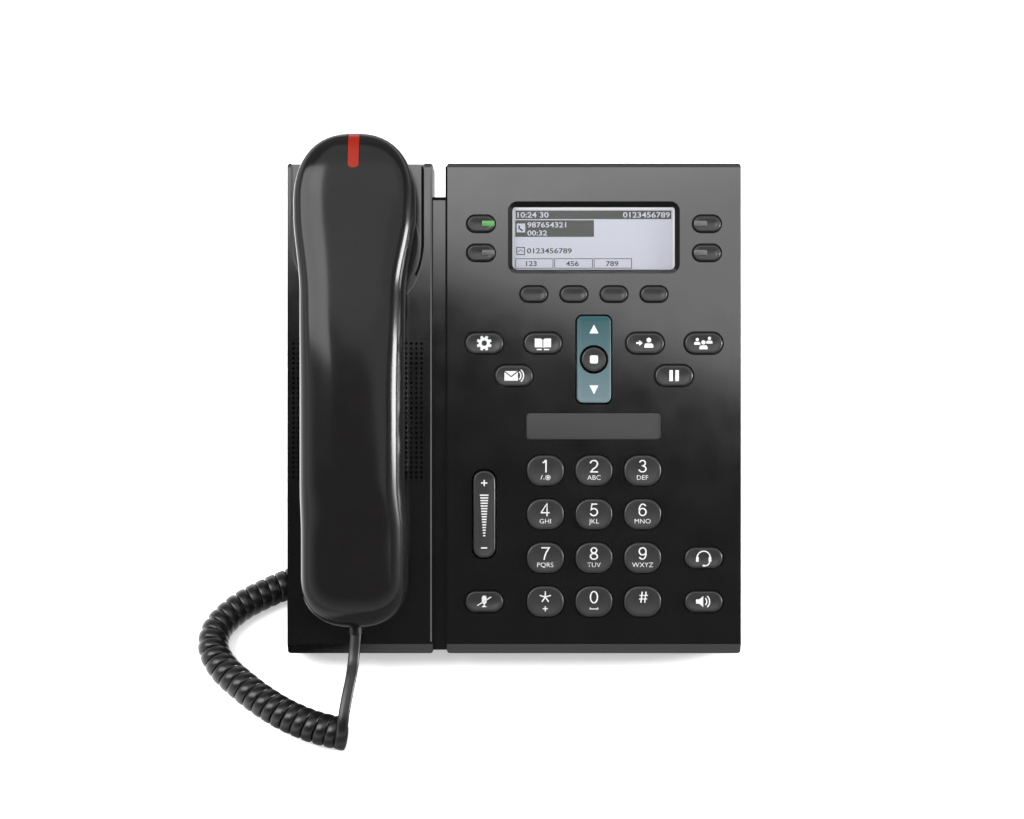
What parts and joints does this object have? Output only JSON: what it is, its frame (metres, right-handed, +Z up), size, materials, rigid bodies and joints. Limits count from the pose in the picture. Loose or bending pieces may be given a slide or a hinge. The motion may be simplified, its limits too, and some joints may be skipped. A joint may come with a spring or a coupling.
{
  "type": "desk telephone",
  "caption": "Corded desk telephone with display, keypad, navigation rocker, lift-off handset and coiled cord, leaning on a fold-out stand.",
  "frame": {"origin": "middle of the front foot strip's underside, on the desk", "axes": "+X to the right of someone facing the keys, +Y to the back, +Z up; the face leans back 40 degrees from the desk"},
  "size_m": [0.2306, 0.2325, 0.1755],
  "materials": {
    "housing_plastic": "fine moulded texture, charcoal",
    "handset_gloss": "polished, near black",
    "key_plastic": "smooth satin, charcoal",
    "rocker_teal": "satin blue-green",
    "display_clear": "clear plastic window",
    "display_panel": "pale grey-blue liquid crystal panel",
    "label_plastic": "smoked grey plastic",
    "lamp_red": "translucent red",
    "rubber": "matte black",
    "steel": "plated",
    "silicone": "translucent grey",
    "circuit_board": "green solder mask",
    "capsule": "grey",
    "jack_plastic": "black",
    "cord_plastic": "smooth black vinyl"
  },
  "bodies": {
    "housing": {"front_housing": "housing_plastic", "cradle_cover": "housing_plastic", "rear_housing": "housing_plastic", "front_foot": "rubber", "stand_hinge_pin": "steel", "display_window": "display_clear", "display_module": "display_panel", "label_window": "label_plastic", "key_mat": "silicone", "main_board": "circuit_board", "speaker_grille": "housing_plastic", "loudspeaker": "capsule", "rear_jacks": "jack_plastic", "case_screws": "steel", "base_plug": "jack_plastic", "cord_coil": "cord_plastic", "cord_handset_lead": "cord_plastic", "cord_base_lead": "cord_plastic"},
    "stand": {"fold_stand": "housing_plastic", "stand_pads": "rubber"},
    "handset": {"handset_upper_shell": "handset_gloss", "handset_lower_shell": "handset_gloss", "ear_cap": "handset_gloss", "mouth_cap": "handset_gloss", "handset_capsules": "capsule", "message_lamp": "lamp_red", "handset_plug": "jack_plastic"},
    "hook": {"hook_switch": "key_plastic"},
    "navigation": {"nav_rocker": "rocker_teal"},
    "select": {"select_button": "key_plastic"},
    "volume": {"volume_rocker": "key_plastic"},
    "dial_key_1": {"dial_key_1": "key_plastic"},
    "dial_key_2": {"dial_key_2": "key_plastic"},
    "dial_key_3": {"dial_key_3": "key_plastic"},
    "dial_key_4": {"dial_key_4": "key_plastic"},
    "dial_key_5": {"dial_key_5": "key_plastic"},
    "dial_key_6": {"dial_key_6": "key_plastic"},
    "dial_key_7": {"dial_key_7": "key_plastic"},
    "dial_key_8": {"dial_key_8": "key_plastic"},
    "dial_key_9": {"dial_key_9": "key_plastic"},
    "dial_key_star": {"dial_key_star": "key_plastic"},
    "dial_key_0": {"dial_key_0": "key_plastic"},
    "dial_key_hash": {"dial_key_hash": "key_plastic"},
    "soft_key_1": {"soft_key_1": "key_plastic"},
    "soft_key_2": {"soft_key_2": "key_plastic"},
    "soft_key_3": {"soft_key_3": "key_plastic"},
    "soft_key_4": {"soft_key_4": "key_plastic"},
    "line_key_1": {"line_key_1": "key_plastic"},
    "line_key_2": {"line_key_2": "key_plastic"},
    "line_key_3": {"line_key_3": "key_plastic"},
    "line_key_4": {"line_key_4": "key_plastic"},
    "settings_key": {"settings_key": "key_plastic"},
    "contacts_key": {"contacts_key": "key_plastic"},
    "transfer_key": {"transfer_key": "key_plastic"},
    "conference_key": {"conference_key": "key_plastic"},
    "messages_key": {"messages_key": "key_plastic"},
    "hold_key": {"hold_key": "key_plastic"},
    "mute_key": {"mute_key": "key_plastic"},
    "headset_key": {"headset_key": "key_plastic"},
    "speaker_key": {"speaker_key": "key_plastic"}
  },
  "joints": [
    {"name": "handset_lift", "type": "slide", "parent": "housing", "child": "handset", "axis": [0, -0.6428, 0.766], "range_m": [0, 0.06]},
    {"name": "hook_switch_rise", "type": "slide", "parent": "housing", "child": "hook", "axis": [0, -0.6428, 0.766], "range_m": [0, 0.0036]},
    {"name": "stand_fold", "type": "hinge", "parent": "housing", "child": "stand", "pos_m": [0, 0.10267, 0.07637], "axis": [-1, 0, 0], "range_deg": [0, 86]},
    {"name": "navigation_rock", "type": "hinge", "parent": "housing", "child": "navigation", "pos_m": [0.03345, 0.07848, 0.09523], "axis": [1, 0, 0], "range_deg": [-2.2, 2.2], "stiffness_Nm_per_rad": 0.08},
    {"name": "volume_rock", "type": "hinge", "parent": "housing", "child": "volume", "pos_m": [-0.01255, 0.02876, 0.05352], "axis": [1, 0, 0], "range_deg": [-2.2, 2.2], "stiffness_Nm_per_rad": 0.08},
    {"name": "select_press", "type": "slide", "parent": "housing", "child": "select", "axis": [0, -0.6428, 0.766], "range_m": [-0.001, 0], "stiffness_N_per_m": 400, "springref_m": 0.0008},
    {"name": "dial_1_press", "type": "slide", "parent": "housing", "child": "dial_key_1", "axis": [0, -0.6428, 0.766], "range_m": [-0.0012, 0], "stiffness_N_per_m": 400, "springref_m": 0.0008},
    {"name": "dial_2_press", "type": "slide", "parent": "housing", "child": "dial_key_2", "axis": [0, -0.6428, 0.766], "range_m": [-0.0012, 0], "stiffness_N_per_m": 400, "springref_m": 0.0008},
    {"name": "dial_3_press", "type": "slide", "parent": "housing", "child": "dial_key_3", "axis": [0, -0.6428, 0.766], "range_m": [-0.0012, 0], "stiffness_N_per_m": 400, "springref_m": 0.0008},
    {"name": "dial_4_press", "type": "slide", "parent": "housing", "child": "dial_key_4", "axis": [0, -0.6428, 0.766], "range_m": [-0.0012, 0], "stiffness_N_per_m": 400, "springref_m": 0.0008},
    {"name": "dial_5_press", "type": "slide", "parent": "housing", "child": "dial_key_5", "axis": [0, -0.6428, 0.766], "range_m": [-0.0012, 0], "stiffness_N_per_m": 400, "springref_m": 0.0008},
    {"name": "dial_6_press", "type": "slide", "parent": "housing", "child": "dial_key_6", "axis": [0, -0.6428, 0.766], "range_m": [-0.0012, 0], "stiffness_N_per_m": 400, "springref_m": 0.0008},
    {"name": "dial_7_press", "type": "slide", "parent": "housing", "child": "dial_key_7", "axis": [0, -0.6428, 0.766], "range_m": [-0.0012, 0], "stiffness_N_per_m": 400, "springref_m": 0.0008},
    {"name": "dial_8_press", "type": "slide", "parent": "housing", "child": "dial_key_8", "axis": [0, -0.6428, 0.766], "range_m": [-0.0012, 0], "stiffness_N_per_m": 400, "springref_m": 0.0008},
    {"name": "dial_9_press", "type": "slide", "parent": "housing", "child": "dial_key_9", "axis": [0, -0.6428, 0.766], "range_m": [-0.0012, 0], "stiffness_N_per_m": 400, "springref_m": 0.0008},
    {"name": "dial_star_press", "type": "slide", "parent": "housing", "child": "dial_key_star", "axis": [0, -0.6428, 0.766], "range_m": [-0.0012, 0], "stiffness_N_per_m": 400, "springref_m": 0.0008},
    {"name": "dial_0_press", "type": "slide", "parent": "housing", "child": "dial_key_0", "axis": [0, -0.6428, 0.766], "range_m": [-0.0012, 0], "stiffness_N_per_m": 400, "springref_m": 0.0008},
    {"name": "dial_hash_press", "type": "slide", "parent": "housing", "child": "dial_key_hash", "axis": [0, -0.6428, 0.766], "range_m": [-0.0012, 0], "stiffness_N_per_m": 400, "springref_m": 0.0008},
    {"name": "soft_1_press", "type": "slide", "parent": "housing", "child": "soft_key_1", "axis": [0, -0.6428, 0.766], "range_m": [-0.0012, 0], "stiffness_N_per_m": 400, "springref_m": 0.0008},
    {"name": "soft_2_press", "type": "slide", "parent": "housing", "child": "soft_key_2", "axis": [0, -0.6428, 0.766], "range_m": [-0.0012, 0], "stiffness_N_per_m": 400, "springref_m": 0.0008},
    {"name": "soft_3_press", "type": "slide", "parent": "housing", "child": "soft_key_3", "axis": [0, -0.6428, 0.766], "range_m": [-0.0012, 0], "stiffness_N_per_m": 400, "springref_m": 0.0008},
    {"name": "soft_4_press", "type": "slide", "parent": "housing", "child": "soft_key_4", "axis": [0, -0.6428, 0.766], "range_m": [-0.0012, 0], "stiffness_N_per_m": 400, "springref_m": 0.0008},
    {"name": "line_1_press", "type": "slide", "parent": "housing", "child": "line_key_1", "axis": [0, -0.6428, 0.766], "range_m": [-0.0012, 0], "stiffness_N_per_m": 400, "springref_m": 0.0008},
    {"name": "line_2_press", "type": "slide", "parent": "housing", "child": "line_key_2", "axis": [0, -0.6428, 0.766], "range_m": [-0.0012, 0], "stiffness_N_per_m": 400, "springref_m": 0.0008},
    {"name": "line_3_press", "type": "slide", "parent": "housing", "child": "line_key_3", "axis": [0, -0.6428, 0.766], "range_m": [-0.0012, 0], "stiffness_N_per_m": 400, "springref_m": 0.0008},
    {"name": "line_4_press", "type": "slide", "parent": "housing", "child": "line_key_4", "axis": [0, -0.6428, 0.766], "range_m": [-0.0012, 0], "stiffness_N_per_m": 400, "springref_m": 0.0008},
    {"name": "settings_press", "type": "slide", "parent": "housing", "child": "settings_key", "axis": [0, -0.6428, 0.766], "range_m": [-0.0012, 0], "stiffness_N_per_m": 400, "springref_m": 0.0008},
    {"name": "contacts_press", "type": "slide", "parent": "housing", "child": "contacts_key", "axis": [0, -0.6428, 0.766], "range_m": [-0.0012, 0], "stiffness_N_per_m": 400, "springref_m": 0.0008},
    {"name": "transfer_press", "type": "slide", "parent": "housing", "child": "transfer_key", "axis": [0, -0.6428, 0.766], "range_m": [-0.0012, 0], "stiffness_N_per_m": 400, "springref_m": 0.0008},
    {"name": "conference_press", "type": "slide", "parent": "housing", "child": "conference_key", "axis": [0, -0.6428, 0.766], "range_m": [-0.0012, 0], "stiffness_N_per_m": 400, "springref_m": 0.0008},
    {"name": "messages_press", "type": "slide", "parent": "housing", "child": "messages_key", "axis": [0, -0.6428, 0.766], "range_m": [-0.0012, 0], "stiffness_N_per_m": 400, "springref_m": 0.0008},
    {"name": "hold_press", "type": "slide", "parent": "housing", "child": "hold_key", "axis": [0, -0.6428, 0.766], "range_m": [-0.0012, 0], "stiffness_N_per_m": 400, "springref_m": 0.0008},
    {"name": "mute_press", "type": "slide", "parent": "housing", "child": "mute_key", "axis": [0, -0.6428, 0.766], "range_m": [-0.0012, 0], "stiffness_N_per_m": 400, "springref_m": 0.0008},
    {"name": "headset_press", "type": "slide", "parent": "housing", "child": "headset_key", "axis": [0, -0.6428, 0.766], "range_m": [-0.0012, 0], "stiffness_N_per_m": 400, "springref_m": 0.0008},
    {"name": "speaker_press", "type": "slide", "parent": "housing", "child": "speaker_key", "axis": [0, -0.6428, 0.766], "range_m": [-0.0012, 0], "stiffness_N_per_m": 400, "springref_m": 0.0008}
  ],
  "couplings": [
    {"joint": "hook_switch_rise", "follows": "handset_lift", "ratio": 0.0583}
  ]
}
